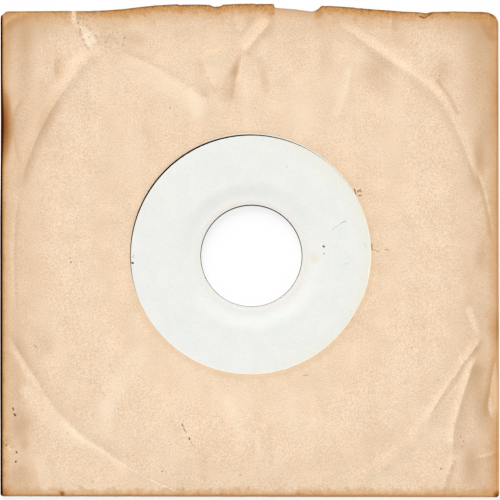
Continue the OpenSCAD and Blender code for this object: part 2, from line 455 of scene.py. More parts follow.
# The paper's height over the label, its rise over the grooves, and its fall to the edges and on to the corners
OVER_LABEL_Z, GROOVES_RISE, EDGE_FALL, CORNER_FALL = 1.14, 0.2, 0.5, 0.45
# The room that it keeps above the land and the bead, how far out it needs that, and how softly it comes down there
PAPER_ROOM, LAND_REACH, BEAD_REACH, CLEAR_REACH, SOFTNESS = 0.03, 46.6, 87.6, 90.4, 0.06
# Its slow waves, each a height, a size and a seed
paper_waves = [(0.1, 24, 3.1), (0.045, 9, 7.7), (0.012, 3.4, 1.3)]

# The open lip from left to right, as x and y
lip_line = [
    (-92.055, 90.4), (-91.85, 90.8), (-91.3, 91.1), (-90.3, 91.2), (-86, 91.2), (-71.1, 91.3), (-60, 91.3),
    (-53.4, 91.6), (-47.1, 92.1), (-41.5, 92.8), (-35.9, 93.4), (-30.3, 93.7), (-27.3, 93.9), (-26.4, 93.4),
    (-25.8, 93.7), (-19.1, 93.75), (-15.5, 93.6), (-14.1, 92.9), (-11.7, 93), (-10.5, 93.7), (-6, 93.95),
    (1.5, 94.1), (2, 93.6), (2.4, 93.95), (8.4, 93.95), (8.6, 92.6), (10.9, 92.35), (16.6, 91.9), (22.2, 91.1),
    (23.3, 91.2), (25.4, 92.4), (25.8, 93.2), (29.3, 93.2), (35.1, 92.85), (39.1, 92.5), (39.5, 92.1), (40, 92.4),
    (45.1, 91.95), (51.8, 91.5), (55.6, 91.15), (62.3, 90.85), (64.9, 90.5), (67.3, 90.95), (76, 91.15), (81.6, 91),
    (86.1, 91), (88.3, 90.75), (90.2, 89.9), (91.055, 89.1)]


def curved(line, steps=6):
    """A line of points made smooth by passing a curve through them."""
    ends = [line[0], *line, line[-1]]
    smooth = []
    for a, b, c, d in zip(ends, ends[1:], ends[2:], ends[3:]):
        for t in np.arange(steps) / steps:
            smooth.append(tuple(0.5 * (2 * q + (r - p) * t + (2 * p - 5 * q + 4 * r - s) * t ** 2
                                       + (3 * q - p - 3 * r + s) * t ** 3) for p, q, r, s in zip(a, b, c, d)))
    return smooth + [line[-1]]


def crease(line, height, left, right, grime_left=0, grime_right=0, roundness=1.2, bend=2, worn=0, ends=0.14):
    """A crease along a line: its height, how far it reaches to the left and the right of its direction, the tone on
    either side, which is grime and painted shade above 0 and painted light below 0, how round its top is, how its
    sides bend (1 is a flat facet), how dark (above 0) or pale (below 0) its fibres have worn, and over what share of
    its length it fades at its ends."""
    return dict(locals(), line=curved(line))


creases = [
    # the rim's outline at the upper right, and the soft folds beside it
    crease([(30.4, 86.8), (35.2, 84.4), (44, 78.5), (53.2, 71.8), (62.8, 65.3), (70.6, 57.5), (77.2, 45.5),
        (82, 33), (85, 23)], 0.26, 3.4, 4.2, -0.34, 0.16, 1.9),
    crease([(83.7, 32.1), (86.1, 25.6), (88.1, 17.5), (89.3, 11), (89.6, 5.8)], 0.12, 1.6, 2.4, -0.25, 0.25),
    crease([(36, 69.3), (34.6, 61), (31.6, 52.6)], 0.06, 1.4, 2, -0.15, 0.15, 1.6),
    # the upper left
    crease([(-56.4, 77.6), (-60.6, 73.8), (-64.2, 69.6), (-68.4, 64), (-72.2, 58.7), (-76.6, 51.2), (-79.6, 45.4),
        (-82.2, 39.2), (-84.6, 32.3), (-86.6, 24)], 0.28, 3.8, 4.6, 0.26, 0.08, 1.8),
    crease([(-50, 76.4), (-40, 72.6), (-30.3, 67.5), (-22, 62), (-14.3, 56.6)], -0.16, 4, 3.4, 0.24, -0.2, 1.4),
    crease([(-53.4, 73.8), (-46, 66.6), (-37.8, 58.2)], -0.05, 3.4, 2.4, -0.1, 0.14, 1.6),
    crease([(-86.6, 24), (-88, 12), (-88.5, 0), (-88.2, -12), (-87.2, -22)], 0.05, 1.8, 2, 0.12, -0.08, 1.6),
    crease([(-41.5, 82), (-30.3, 86.1), (-12.8, 88.3), (-1.6, 88.9)], 0.05, 1.6, 1.6, 0.06, -0.08, 1.4),
    crease([(-92.5, 85), (-90.7, 87.2), (-88.4, 88.7), (-85.8, 89.7), (-83.2, 90.4)], 0.1, 1.5, 3.6, -0.3, 0.22),
    crease([(-65.3, 90.2), (-64.2, 86.1), (-63.5, 82.7), (-62.2, 79.4), (-60.1, 76.8)], 0.14, 1.8, 1.4, -0.1, 0.1,
        worn=0.5, ends=0.08),
    crease([(-65, 90.6), (-62, 86.7), (-59.4, 83.9), (-57.5, 81.2), (-56.4, 78.6)], 0.14, 1.4, 1.8, 0.1, -0.1,
        worn=0.4, ends=0.08),
    crease([(-73.9, 73.8), (-73.7, 70.1), (-73.5, 66)], 0.05, 1.4, 1.2, 0.2, -0.15, worn=-0.4),
    # the folds below the middle of the lip
    crease([(7.7, 88), (4.9, 84.6), (1.7, 81.2), (-1.1, 77.5), (-3.1, 74.5)], 0.26, 4.6, 5.6, 0.2, -0.42, 1.6,
        ends=0.16),
    crease([(-7.6, 77.5), (-12.4, 75.5), (-16.2, 73.4), (-17.5, 71), (-16.5, 67.7), (-14.7, 63.7), (-12.8, 60.4)],
        0.2, 6, 2.8, -0.24, 0.22, 1.4, ends=0.16),
    crease([(-2.9, 75.8), (-4.2, 71.8), (-5, 67.8), (-5.4, 64.4)], -0.09, 2.2, 6, -0.16, 0.24, 1.3, ends=0.25),
    crease([(-4.6, 71), (-5.4, 66), (-6.4, 60), (-8, 54)], -0.07, 5, 8, -0.1, 0.22, 1.8, ends=0.4),
    crease([(4.7, 80.9), (2.3, 76.4)], 0.03, 1, 1, worn=-0.5),
    crease([(-5.9, 89), (-4.2, 86.1), (-2.9, 83.5)], 0.07, 2.4, 1.8, 0.08, -0.3),
    # corners and edges
    crease([(86.7, 90.9), (87.6, 87.6), (89.3, 83.9), (91.5, 80.9)], 0.16, 2.4, 3, -0.15, 0.7, 1.1),
    crease([(51.8, 90.2), (52, 88), (52, 85)], 0.06, 1.6, 1, 0.15, -0.1, worn=-0.35),
    crease([(-92.9, -67.4), (-90.7, -69.6), (-88.4, -72.2)], 0.06, 2.2, 2.2, 0.15, -0.3, worn=0.3),
    crease([(-84.5, 60), (-88.6, 54), (-89, 44), (-86.5, 33)], 0.1, 2.6, 2.6, 0.15, 0, 1.4),
    # the lower right, where the paper has been pinched
    crease([(86.3, -28.6), (84, -33.1), (81.4, -36.5), (78.5, -40.2), (76.2, -43.9), (73.2, -47.6), (70.3, -52.5),
        (68, -56.2), (66.5, -59.2), (65.4, -64)], 0.15, 3, 3.4, 0.22, -0.25, 1.1, worn=-0.45),
    crease([(84.2, -36.8), (81.8, -41.7), (80.2, -46.9), (78.3, -52.9), (76.5, -59.2), (75.1, -64.8), (74.9, -69.6),
        (75.5, -74.8)], 0.34, 6.2, 2.6, 0.26, -0.4, 1.2, 1.3, -0.35),
    crease([(75.5, -74.8), (74.7, -78.6), (73.2, -82.3), (72.1, -87.5)], 0.15, 1.8, 1.8, 0.4, -0.3, 1.1, worn=0.35),
    crease([(80.3, -42.4), (73.2, -51.8), (65.4, -61), (59.6, -68.2), (52.8, -74.8), (44.2, -80.8), (34.1, -85.3)],
        0.2, 4.4, 3.2, -0.22, 0.24, 1.5),
    crease([(92.2, -35), (91.1, -39.4), (90, -44.3), (89.1, -50.2), (88.5, -55.5), (89.1, -58.8), (91.1, -60.7)], 0.22,
        4, 2.6, -0.6, 0.5, 1.2, worn=-0.3),
    crease([(91.9, -72.8), (88.1, -74.6), (83.3, -75.4)], 0.05, 1.5, 1.5, 0.15, -0.25),
    # the rim's outline at the lower left, which ends in a thin pale line
    crease([(-91.4, -27.5), (-89.9, -30.5), (-86.9, -35.7), (-83.2, -41.7), (-78.7, -48.4), (-75.8, -53.6),
        (-71.3, -58.8), (-66.1, -64), (-60.9, -68.5), (-54.9, -72.2), (-48.9, -76.5), (-42.6, -80.6)], -0.18, 4.2, 3,
        0.16, -0.4, 1.4),
    crease([(-50, -76), (-42.6, -80.8), (-36.6, -83.8), (-30.7, -86.4), (-25.8, -88.6)], 0.05, 1.8, 1.2, 0.2, -0.1,
        worn=-0.9),
    crease([(-36, -43.4), (-20.8, -43.1), (-7, -43.4)], 0.05, 1.6, 1.6, 0.08, -0.08),
]

# Grime from hands and shelves, and painted shade beside the folds, as patches: middle, reach in x and y, and strength
grime_patches = [
    (84.5, -42, 5.5, 13, 0.18), (86, -56, 5, 12, 0.26), (86, 70, 12, 30, 0.2), (47, 68.5, 11, 11, 0.4),
    (26, 84, 20, 10, 0.08), (-84, 74, 5, 22, 0.2), (-85, -50, 6, 7, 0.12), (-85.6, -63, 6.5, 10, 0.28),
    (-84.4, -70.5, 3.4, 4.5, 0.2), (-85, -80.5, 6, 6.5, 0.14), (-52, 80, 14, 9, 0.16), (-5.5, 59, 3.5, 8, 0.26),
    (-38, 45, 5, 18, 0.16), (66, 60, 20, 22, 0.1), (78, -20, 14, 24, 0.1), (-76, 52, 10, 20, 0.2),
    (87, 44, 6, 18, 0.18), (-88, -42, 5, 22, 0.1), (27.4, 72, 6, 12, 0.34), (5, 66, 5, 14, 0.18),
    (88, -66, 6, 20, 0.1), (90, 10, 5, 26, 0.12), (-86, 50, 6, 24, 0.14), (-59, 75.5, 4.5, 4.5, 0.3),
    (-43.3, 80.5, 7, 5, 0.22), (55, 80.5, 9, 6, 0.2), (71, 69, 7, 9, 0.3), (50, 60, 8, 8, 0.2),
    (81.5, -77, 6, 11, 0.3), (84.2, 34, 4.5, 14, 0.32), (85.5, 0, 4, 10, 0.22), (-76, -34, 7, 8, 0.2)]
# Paler paper, and painted light on raised folds, as patches of the same kind
bright_patches = [
    (-10, -40, 62, 42, 0.24), (20, 52, 34, 26, 0.14), (-62, -20, 20, 50, 0.14), (-30, 60, 22, 16, 0.12),
    (60, -50, 20, 30, 0.1), (62, 5, 20, 30, 0.12), (-12.5, 70.5, 6.5, 8, 0.2), (-19, 53, 7, 7, 0.2),
    (-54, -56, 6, 7, 0.28), (-32, -66.6, 9, 9, 0.2), (15, -60, 7, 12, 0.26), (-62, 24, 15, 12, 0.22),
    (52, 40, 18, 14, 0.22), (76, -13, 6, 11, 0.26), (89.6, -57, 3, 6, 0.6)]

# Paled and dusky bands along the folds, as a line, a width and a tone: grime and painted shade above 0, paper paled by
# rubbing and painted light below 0
tone_bands = [
    ([(36, 69), (34.8, 61.5), (31.6, 53)], 2.4, -0.34),
    ([(-66.4, 90.5), (-64.4, 87.6), (-62.3, 84.2), (-60.1, 80.9)], 2.4, -0.7),
    ([(-60.1, 80.9), (-58.6, 77)], 4, -0.55), ([(-0.5, 88), (-3.1, 83.1)], 2.4, 0.12),
    ([(53.4, 89.5), (53.6, 85)], 2.2, 0.18), ([(-4.2, 73.4), (-6, 69)], 2.6, 0.2),
    ([(-6.6, 68.4), (-9.4, 60)], 5.5, 0.22), ([(-4.4, 88.6), (-3.6, 86)], 2.6, -0.3),
    ([(-20, 72), (-19.4, 66), (-16.6, 60)], 2.6, 0.22), ([(69.4, 65.2), (73.6, 59.4), (76.4, 53.4)], 1.3, 0.3),
    ([(81, -20), (84, -28)], 1.6, -0.4), ([(-49.5, -46), (-41, -36)], 6, -0.22),
    ([(-50, -51), (-54, -57), (-55, -70)], 5, -0.2), ([(-19, -60), (-17.5, -82)], 3.2, 0.2),
    ([(-9, -54), (-3, -67)], 4, -0.2), ([(6.5, -64), (7.6, -77)], 1.8, 0.24),
    ([(2.2, -68), (3, -75)], 2.2, -0.24), ([(21.8, -62), (21.8, -75)], 4, -0.16),
    ([(44, -50), (45, -76)], 6, 0.12), ([(-44, 70.5), (-31, 63), (-20, 56)], 5, -0.2),
    ([(-2.5, 66), (-1.5, 50)], 3.4, -0.2), ([(3, 73), (5.5, 62)], 2.6, 0.2), ([(17, 66), (19, 46)], 6, -0.16),
    ([(-22, 60), (-20.5, 48)], 3.4, -0.16), ([(-38, 56), (-40, 47)], 4.4, 0.12), ([(-45, 45), (-44, 34)], 5, -0.14),
    ([(-84, -50), (-76, -60), (-64, -69.6)], 3.6, -0.3), ([(-78.5, -76), (-76.5, -86)], 3, -0.34)]

# Golden brown stains, as patches
stain_patches = [
    (-93.4, 49, 6, 19, 1), (-72.2, 70.5, 3.2, 8.5, 0.15), (90, 86, 2.8, 5, 0.28), (65, 89.7, 2.6, 1.3, 0.6),
    (92, -89.5, 2.6, 3, 1), (-92.5, -89, 4, 4, 0.35), (-70.5, -88.4, 1.4, 1.4, 0.9), (-53.2, 90.9, 2.2, 1.2, 0.7),
    (-64, 90.6, 2.4, 1, 0.6), (-91, 80, 4, 18, 0.1), (92.5, -76, 6, 16, 0.1), (93, 58, 8, 18, 0.16),
    (93, -27, 6.5, 10, 0.24)]


def distance_to_line(x, y, line):
    """How far each point is to the left of a line, and what share of the line's length it is along."""
    lengths = [math.dist(a, b) for a, b in zip(line, line[1:])]
    side, share, run = np.full(x.shape, 1e6), np.zeros(x.shape), 0
    for (ax, ay), (bx, by), span in zip(line, line[1:], lengths):
        dx, dy = (bx - ax) / span, (by - ay) / span
        along = np.clip((x - ax) * dx + (y - ay) * dy, 0, span)
        gap = np.hypot(x - ax - along * dx, y - ay - along * dy)
        nearer = gap < np.abs(side)
        sign = np.where(dx * (y - ay) - dy * (x - ax) >= 0, 1, -1)
        side = np.where(nearer, sign * gap, side)
        share = np.where(nearer, (run + along) / sum(lengths), share)
        run += span
    return side, share


def ripple(x, y, size, seed):
    """Slow waves of about this size, the same at each run."""
    waves = [noise.noise(Vector((a / size, b / size, seed))) for a, b in zip(np.ravel(x), np.ravel(y))]
    return np.array(waves).reshape(np.shape(x))


def crease_places(x, y):
    """Each crease with the distance to its left, that distance as a share of its reach, and how far its ends have
    faded."""
    for fold in creases:
        side, share = distance_to_line(x, y, fold["line"])
        away = np.clip(np.abs(side) / np.where(side > 0, fold["left"], fold["right"]), 0, 1)
        yield fold, side, away, smooth_step(share, 0, fold["ends"]) * smooth_fall(share, 1 - fold["ends"], 1)


def crumbled(x, y):
    """1 where the paper has crumbled near the upper left corner, and 0 elsewhere."""
    strip = smooth_fall(np.abs(distance_to_line(x, y, [(-65, 89), (-60, 79)])[0]), 1, 4)
    return np.maximum(strip, smooth_fall(np.hypot((x + 52) / 9.5, (y - 80.5) / 6.5), 0.4, 1))


def front_height(x, y):
    """Outer face of the front paper: pressed over the land and the rim, and lower towards the folds.
    Above the disc it keeps the disc's width free, because that is the way out of the sleeve."""
    from_disc = np.hypot(x, np.minimum(y + SLIDE_DOWN, 0))
    z = OVER_LABEL_Z + GROOVES_RISE * smooth_step(from_disc, 46, 64) - EDGE_FALL * smooth_step(from_disc, 72, 97)
    z = z - CORNER_FALL * smooth_step(from_disc, 92, 124)
    for height, size, seed in paper_waves:
        z = z + height * ripple(x, y, size, seed)
    z = z + 0.11 * crumbled(x, y) * ripple(x, y, 1.6, 6.2)
    for fold, _, away, fade in crease_places(x, y):
        z = z + fold["height"] * fade * (1 - away ** fold["roundness"]) ** fold["bend"]
    at_window = smooth_fall(np.hypot(x - WINDOW_X, y - WINDOW_Y) - WINDOW_R, 0, 0.8)
    land_room = LAND_Z + PAPER_ROOM + PAPER_T * (1 - 0.5 * at_window)
    bead_room = RIM_Z + PAPER_ROOM + PAPER_T
    lowest = np.where(from_disc < LAND_REACH, land_room, bead_room)
    lowest = lowest - 3 * smooth_step(from_disc, BEAD_REACH, CLEAR_REACH)
    over = z - 0.09 * at_window - lowest
    return lowest + np.where(over > SOFTNESS, over, SOFTNESS * np.exp(np.minimum(over - SOFTNESS, 0) / SOFTNESS))


def soft_patches(x, y, patches):
    """The sum of soft round patches, each (middle, reach in x and y, strength)."""
    laid = np.zeros(np.shape(x))
    for middle_x, middle_y, reach_x, reach_y, strength in patches:
        laid = laid + strength * smooth_fall(np.hypot((x - middle_x) / reach_x, (y - middle_y) / reach_y), 0, 1)
    return laid


def paper_wear(x, y):
    """The wear and painted shading that a mesh of the front carries: tone, which is grime and painted shade above 0
    and paper paled by rubbing and painted light below 0; golden stains; and the distance from the nearest worn crease,
    with how dark or pale its line is."""
    tone = soft_patches(x, y, grime_patches) - soft_patches(x, y, bright_patches)
    # Darker towards each edge of the front
    for from_edge, reach, strength in ((x - SLEEVE_LEFT, 30, 0.4), (SLEEVE_RIGHT - x, 30, 0.4),
                                       (SLEEVE_TOP - y, 24, 0.38), (y - SLEEVE_LOW, 16, 0.2)):
        tone = tone + strength * smooth_fall(from_edge, 0, reach)
    for line, width, strength in tone_bands:
        tone = tone + strength * smooth_fall(np.abs(distance_to_line(x, y, line)[0]), 0.2 * width, width)
    worn_gap, worn_ink = np.full(np.shape(x), 3), np.zeros(np.shape(x))
    for fold, side, away, fade in crease_places(x, y):
        near = smooth_step(away, 0, 0.12) * (1 - away) ** 1.2
        # Each side of a crease gets grime and painted shade above 0, or painted light below 0, near its line
        tone = tone + fade * near * np.where(side > 0, fold["grime_left"], fold["grime_right"]) * 1.2
        if fold["worn"]:
            nearest = np.abs(side) < np.abs(worn_gap)
            worn_gap = np.where(nearest, side, worn_gap)
            worn_ink = np.where(nearest, fold["worn"] * fade, worn_ink)
    worn_ink = worn_ink * smooth_fall(np.abs(worn_gap), 1.3, 2.4)
    return {"tone": tone, "stained": soft_patches(x, y, stain_patches), "worn_gap": worn_gap, "worn_ink": worn_ink,
            "crumbled": crumbled(x, y)}


def give_values(piece, values):
    for name, numbers in values.items():
        kept = piece.data.attributes.new(name, "FLOAT", "POINT")
        kept.data.foreach_set("value", np.ravel(numbers).astype(np.float32))


def edge_points(outline_sides):
    """Points round an outline. Each side is a line of corners with the number of steps along it."""
    found = []
    for corners, steps in outline_sides:
        lengths = np.array([0] + [math.dist(a, b) for a, b in zip(corners, corners[1:])]).cumsum()
        stops = np.linspace(0, lengths[-1], steps + 1)[:-1]
        found += zip(*(np.interp(stops, lengths, ordinates) for ordinates in zip(*corners)))
    return np.array(found)


def windowed_sheet(outline, outer_shares, inner_step, outer_height, thickness):
    """A closed sheet from a round window out to an outline. Its outer face is at outer_height; the other face lies
    one thickness behind it, on every inner_step-th ring. Gives points, faces and how many faces are on the outer
    face."""
    centre = np.array([WINDOW_X, WINDOW_Y])
    spokes = outline - centre
    window = centre + WINDOW_R * spokes / np.linalg.norm(spokes, axis=1)[:, None]
    n, last = len(outline), len(outer_shares) - 1
    inner_shares = [outer_shares[i] for i in range(0, last, inner_step)] + [outer_shares[last]]
    layers = []
    for shares, behind in ((outer_shares, 0), (inner_shares, thickness)):
        for share in shares:
            ring = window + share * (outline - window)
            cut_edge = 0.5 if share == 0 else 1
            layers.append(np.column_stack([ring, outer_height(ring[:, 0], ring[:, 1]) - behind * cut_edge]))
    first_inner, last_inner = last + 1, last + len(inner_shares)
    pairs = [(k, k + 1) for k in range(last)] + [(k + 1, k) for k in range(first_inner, last_inner)]
    faces = [face for a, b in pairs + [(first_inner, 0), (last, last_inner)] for face in band(a, b, n, n)]
    return np.vstack(layers), faces, last * n


def ring_shares(near, far):
    """Shares from the window to the outline: a few at the cut edge, then close together beyond the split."""
    split = 0.3
    return [0, 0.006, 0.016, *np.linspace(0.03, split, near, endpoint=False), *np.linspace(split, 1, far + 1)]


# A stain that eats in from an edge: a thin line at the edge itself, and a ragged fade behind it
browned_edge, given, made = new_group("Browned edge", {
    "Position": (0, 0, 0), "Distance": 0, "Line": 0.3, "Fade": 2.5, "Raggedness": 0.6, "Hold": 1},
    ["Line", "Fade"])
ragged = (cloud(given["Position"], 2.6, 4, 0.65) - 0.5) * (given["Raggedness"] * 4) + 1
eaten = given["Distance"] * maths("MAXIMUM", ragged, 0.15)
left = maths("SUBTRACT", 1, eaten / given["Fade"], use_clamp=True)
feed(made, {"Line": ease(eaten, given["Line"] * 0.3, given["Line"], 1, 0),
            "Fade": maths("POWER", left, given["Hold"])})


def carried(position, name):
    """A value that the mesh carries."""
    return Value(put(position.tree, "Attribute", attribute_name=name).outputs["Fac"])


def kraft_paper(name, aged=1, specular=0.25):
    """Kraft paper with its mottling, fibres and tooth, and the wear, painted shade and painted light where the mesh
    carries them. Gives what the caller needs to lay more on top."""
    material, shader, position = new_material(name, 0.85, specular)
    mottle, fibre, tooth = grain(position, 10, 0.3)
    base = tint(ease(mottle, 0.32, 0.68), (241, 208, 173), (250, 219, 186))
    streaks = cloud(stretched(position, 1, 0.22), 3.2, 3)
    base = tint(ease(streaks, 0.35, 0.75, 0, 0.35 * aged), base, (233, 206, 178))
    base = tint(ease(fibre, 0.48, 0.84, kind="LINEAR"), base, (208, 174, 138))
    base = tint(ease(fibre, 0.52, 0.15, kind="LINEAR"), base, (255, 248, 232))
    tone = carried(position, "tone")
    # The carried tone: darker for grime and painted shade, paler for paper paled by rubbing and painted light
    base = tint(ease(tone, 0, 1), base, (196, 155, 112))
    base = tint(ease(tone, -0.7, 0, 0.8, 0), base, (254, 234, 206))
    return material, shader, position, base, fibre, tooth


def brown_edge(position, base, distance, line, fade, line_colour, fade_colour, raggedness, strength, hold=1):
    """Browns the paper along an edge, over a line and a fade this many millimetres wide."""
    stain = put(position.tree, "Group", {"Position": position, "Distance": distance, "Line": line, "Fade": fade,
                                         "Raggedness": raggedness, "Hold": hold}, node_tree=browned_edge)
    line_share, fade_share = map(Value, stain.outputs)
    base = tint(fade_share * strength, base, fade_colour)
    return tint(line_share * strength, base, line_colour)


def browned_sides(position, base):
    """The browning along the left, right and bottom folds, which runs over from the panel onto the folds, with painted
    light on the outer edges of the right and bottom folds, a painted-light patch on the right bulge and a painted
    shadow line along the left fold.
    """
    x, y, z = axes(position)
    from_left, from_right, from_bottom = x - SLEEVE_LEFT, SLEEVE_RIGHT - x, y - SLEEVE_LOW
    bulged = 0.95 - patch(position, 93.5, -47, 5, 16, 0.75)
    base = brown_edge(position, base, from_right, 1.5, 4.6, (206, 148, 86), (213, 158, 102), 0.35, bulged, 0.9)
    base = brown_edge(position, base, from_left, 1.7, 3.6, (182, 124, 66), (216, 164, 110), 0.35, 0.95, 0.9)
    base = brown_edge(position, base, from_bottom, 1.4, 3.6, (184, 126, 64), (208, 150, 88), 0.6, 0.95, 0.8)
    # A paler patch on the bulge near the right edge: painted light
    base = tint(patch(position, 91.4, -52, 2.6, 12, 0.9), base, (245, 199, 152))
    # Painted light on the outermost millimetre of the right and bottom folds, where they turn away from the light
    rubbed = maths("MAXIMUM", ease(from_right, 0.2, 1.1, 0.8, 0), ease(from_bottom, 0.4, 1.6, 1, 0))
    base = tint(rubbed, base, (255, 204, 138))
    stained = carried(position, "stained")
    base = tint(ease(stained, 0, 1, kind="LINEAR"), base, (142, 84, 28))
    base = tint(ease(stained, 0, 0.8, kind="LINEAR"), base, (255, 217, 144), "MULTIPLY")
    base = tint(ease(stained, 0.1, 0.3, 0, 0.6), base, (232, 226, 206), "MULTIPLY")
    # A nearly black line along the top of the left fold, wider where it is stained: painted shadow
    upper = ease(z, -1.1, -0.85)
    return tint(ease(from_left, 0.42, stained * 0.9 + 0.8, 1, 0) * upper, base, (28, 4, 0))


def worn_creases(position, base):
    """Fine dark or pale lines along the creases that have worn, a little ragged. Gives the colour and their mask."""
    gap, ink = carried(position, "worn_gap"), carried(position, "worn_ink")
    wander = (cloud(position, 1.3, 4, 0.75) - 0.5) * 2.2
    line = ease(maths("ABSOLUTE", gap + wander), 0.5, 0.1)
    mark = line * ease(cloud(position, 0.8, 2), 0.42, 0.6, 0.1, 1) * ink
    base = tint(maths("MAXIMUM", mark, 0), base, (148, 96, 50))
    return tint(maths("MAXIMUM", mark * -1, 0), base, (255, 240, 216)), mark


def window_place(position):
    """The distance from the window's edge, and the offset from its middle in x and y."""
    offset = vector_maths("SUBTRACT", stretched(position, 1, 1, 0), (WINDOW_X, WINDOW_Y, 0))
    off_x, off_y, _ = axes(offset)
    return length(offset) - WINDOW_R, off_x, off_y


def browned_window(position, base, from_window, strength):
    return brown_edge(position, base, from_window, 0.25, 3, (206, 168, 124), (222, 186, 144), 0.8, strength)


# Marks on the front: specks, the dashed scratch, and stains by the window
front_specks = [
    (-67.6, -0.7, -67.6, -0.7, 0.7, 0.7), (-67.2, -2.2, -67.2, -2.3, 0.8, 0.8), (-88.3, -58.9, -87.9, -59.4, 0.9, 1),
    (-87.6, -72.9, -87.4, -73.2, 0.8, 1), (-87.9, -76.7, -87.7, -76.4, 0.8, 1), (-81, -33.1, -80, -34, 0.6, 0.4),
    (-68.5, -65.9, -68.5, -65.9, 0.6, 0.6), (-33.3, -80.1, -33.2, -80.2, 0.7, 0.7),
    (-4.2, -81.6, -4.2, -81.6, 0.7, 0.8), (59.7, -34, 59.7, -34, 0.6, 0.7), (69.6, -46.1, 69.6, -46.1, 0.6, 0.6),
    (77.9, -67.2, 77.9, -67.4, 0.7, 0.5), (79.1, -68.7, 79, -69, 0.7, 0.4), (78.6, -70.9, 78.6, -71.1, 0.7, 0.4),
    (70, 67.1, 70, 67.1, 0.6, 0.8), (-30.3, 55.2, -30.3, 55.2, 0.7, 0.7), (-25.9, -62.5, -25.4, -63.4, 0.55, 0.8),
    (-25.2, -64.2, -24.3, -65.6, 0.45, 0.7), (-23.2, -67.8, -23, -68.2, 0.75, 1),
    (-22.7, -68.9, -21.6, -70.6, 0.35, 0.35), (44.8, 4.5, 45, 2.3, 0.5, 0.8), (45.3, 2.4, 47.6, 1.7, 0.3, 0.6),
    (49.8, 2.4, 51.4, 2.3, 0.35, 0.7), (19.5, -44.5, 21, -44.2, 0.5, 0.4)]
front_stains = [
    (38.4, 25, 38.9, 23.2, 0.7, 0.8), (39.5, 23.9, 40.7, 24.8, 0.6, 0.8), (39.7, 24.4, 41.1, 24, 0.6, 0.7),
    (40, 22.6, 40.9, 22.6, 0.6, 0.9), (62.7, 89.3, 64.2, 88.7, 0.8, 0.9), (64.6, 88.7, 65.4, 89.3, 0.7, 0.8),
    (66, 89.7, 66.9, 90.3, 0.9, 0.9), (-88.9, -56.6, -88.6, -57.3, 0.9, 0.9), (-91.4, -70.2, -91.3, -70.6, 0.9, 0.7),
    (70.7, -79.1, 70.7, -79.3, 0.8, 0.8)]

front_paper, shader, position, base, fibre, tooth = kraft_paper("front_kraft_paper")
x, _, _ = axes(position)
base = browned_sides(position, base)
from_lip = carried(position, "from_lip")
torn = ease(x, 8.3, 9) * ease(x, 22.5, 25.5, 1, 0)
strip_gap = ease(x, -67.4, -66.6) * ease(x, -65.6, -64.8, 1, 0)
ends = ease(x, 78, 88, 0, 0.3) + ease(x, -62, -48, 0.6, 1) * ease(x, 48, 66, 1, 0.7)
browned = (1 - torn) * ends * (1 - strip_gap * 0.8)
base = brown_edge(position, base, from_lip, 0.1, 7.5, (216, 164, 108), (216, 164, 108), 0.4, browned * 0.95, 1.2)
base = brown_edge(position, base, from_lip, 0.8, 3, (148, 90, 30), (199, 138, 66), 0.6, browned, 0.7)
near_lip = ease(from_lip, 1.5, 4.5, 0.6, 0) * browned
base = tint(near_lip * ease(fibre, 0.5, 0.72), base, (140, 86, 32))
base = tint(near_lip * ease(fibre, 0.3, 0.5, 1, 0), base, (236, 192, 132))
blotches = ease(cloud(stretched(position, 1, 0.5), 1.7, 4, 0.7), 0.5, 0.66)
base = tint(blotches * ease(from_lip, 0.5, 1.7, 0.6, 0) * browned, base, (122, 74, 22))
base = tint(torn * ease(from_lip, 0.5, 4.5, 0.6, 0), base, (214, 166, 116))
base = tint(torn * ease(from_lip, 0.1, 1, 0.7, 0), base, (186, 152, 118))
from_window, off_x, off_y = window_place(position)
base = browned_window(position, base, from_window, ease(off_x * 0.55 - off_y, -35, 38, 0.12, 0.6))
# A pale line along the upper right of the window's cut edge: painted highlight
bright_edge = ease(from_window, 0.15, 0.5, 1, 0) * ease(off_x + off_y, 12, 40)
base = tint(bright_edge, base, (255, 250, 236))
rough_patch = carried(position, "crumbled")
rough_fibres = cloud(stretched(position, 1, 0.75), 0.7, 3, 0.75)
base = tint(rough_patch * ease(rough_fibres, 0.54, 0.72, 0, 0.85), base, (160, 132, 104))
base = tint(rough_patch * ease(rough_fibres, 0.3, 0.44, 0.7, 0), base, (255, 240, 218))
base, crease_mark = worn_creases(position, base)
base = tint(lay_marks(position, front_stains), base, (122, 70, 22))
base = tint(lay_marks(position, front_specks), base, (58, 28, 8))
relief = tooth - crease_mark * 0.25
finish_material(shader, base, relief + rough_patch * rough_fibres * 1.2, 0.03)

inner_paper, shader, _, base, _, tooth = kraft_paper("inner_kraft_paper", 0.6)
finish_material(shader, base, tooth, 0.03)


def paper_piece(name, shape, outside, worn=True):
    """A part of the folded sheet, from its points, faces and how many of these are on its outer face."""
    points, faces, outer = shape
    piece = make_piece(name, points, faces, [outside, inner_paper], [0] * outer + [1] * (len(faces) - outer))
    if worn:
        give_values(piece, paper_wear(points[:, 0], points[:, 1]))
    return piece


SIDE_STEPS, LIP_STEPS, FRAYED_POINTS, FRAYED_BY = 180, 270, 300, 0.07
frayed_lip = [(px, py + FRAYED_BY * noise.noise(Vector((px * 1.7, 0.3, 5)))) for px, py in
              edge_points([(lip_line, FRAYED_POINTS)])] + [lip_line[-1]]
low_left, low_right = (LEFT_FOLD_X, BOTTOM_FOLD_Y), (RIGHT_FOLD_X, BOTTOM_FOLD_Y)
front_outline = edge_points([([low_left, low_right], SIDE_STEPS), ([low_right, lip_line[-1]], SIDE_STEPS),
                             (frayed_lip[::-1], LIP_STEPS), ([lip_line[0], low_left], SIDE_STEPS)])
front_sheet = windowed_sheet(front_outline, ring_shares(9, 80), 4, front_height, PAPER_T)
front_panel = paper_piece("front_panel", front_sheet, front_paper)
front_x, front_y, _ = front_sheet[0].T
give_values(front_panel, {"from_lip": np.abs(distance_to_line(front_x, front_y, lip_line)[0])})
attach(front_panel, "sleeve")
